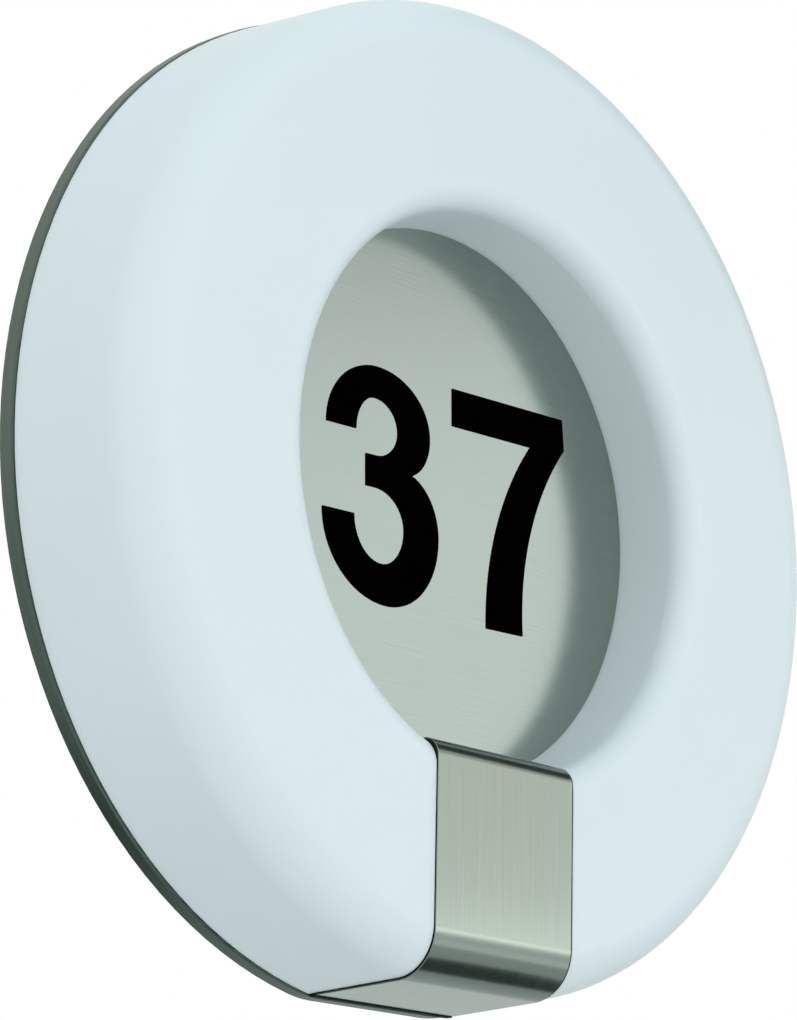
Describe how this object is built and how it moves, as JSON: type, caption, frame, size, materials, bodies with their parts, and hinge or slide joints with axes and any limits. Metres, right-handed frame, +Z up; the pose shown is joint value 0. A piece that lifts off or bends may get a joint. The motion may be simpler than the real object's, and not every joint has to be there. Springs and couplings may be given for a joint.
{
  "type": "outdoor wall light",
  "caption": "Round wall light with a white opal ring, a house number plate set back in its middle and a steel strap at the bottom.",
  "frame": {"origin": "midway between the two wall screws, on the wall", "axes": "+Z up, +X right as seen from the front, +Y into the wall, the light faces -Y"},
  "size_m": [0.29, 0.0513, 0.2876],
  "materials": {
    "stainless_dark": "fine satin, dark grey",
    "foam": "matte closed-cell foam",
    "seal_rubber": "matte black",
    "white_enamel": "gloss white",
    "plated_screw": "zinc plated",
    "lamp_glass": "white phosphor behind clear glass",
    "white_plastic": "smooth white",
    "brass_pin": "bright turned brass",
    "spring_steel": "bright spring steel",
    "galvanised": "galvanised sheet",
    "circuit_board": "green board",
    "ferrite": "dark grey core and winding",
    "capacitor_can": "sleeved can",
    "terminal_plastic": "natural polyamide",
    "brown_sleeve": "brown insulation",
    "blue_sleeve": "blue insulation",
    "green_sleeve": "green and yellow insulation",
    "white_sleeve": "white insulation",
    "black_plastic": "matte black",
    "socket_plastic": "natural acetal",
    "plate_steel": "brushed, level lines",
    "opal": "opal white, soft gloss",
    "strap_steel": "brushed, lines along the strap",
    "digit_film": "black film"
  },
  "bodies": {
    "base": {"base_pan": "stainless_dark", "wall_gasket": "foam", "rim_gasket": "seal_rubber", "reflector": "white_enamel", "reflector_screws": "plated_screw", "ring_lamp": "lamp_glass", "lamp_cap": "white_plastic", "lamp_pins": "brass_pin", "lampholder": "white_plastic", "lampholder_screws": "plated_screw", "lamp_clips": "spring_steel", "ballast_case": "galvanised", "ballast_lid": "galvanised", "ballast_board": "circuit_board", "ballast_choke": "ferrite", "ballast_capacitors": "capacitor_can", "ballast_screws": "plated_screw", "terminal_block": "terminal_plastic", "terminal_screws": "brass_pin", "terminal_block_screws": "plated_screw", "live_wire": "brown_sleeve", "neutral_wire": "blue_sleeve", "earth_wire": "green_sleeve", "earth_tag": "brass_pin", "earth_screw": "plated_screw", "lamp_leads": "white_sleeve", "lead_clip": "white_plastic", "cable_grommet": "seal_rubber", "cable_clamp": "black_plastic", "cable_clamp_screws": "plated_screw", "stud_sockets": "socket_plastic"},
    "cover": {"cover_studs": "plated_screw", "number_plate": "plate_steel", "diffuser": "opal", "diffuser_screws": "plated_screw", "strap": "strap_steel", "strap_nuts": "plated_screw", "end_seals": "seal_rubber", "digit_3": "digit_film", "digit_7": "digit_film"}
  },
  "joints": [
    {"name": "cover_pull", "type": "slide", "parent": "base", "child": "cover", "axis": [0, -1, 0], "range_m": [0, 0.07]}
  ]
}
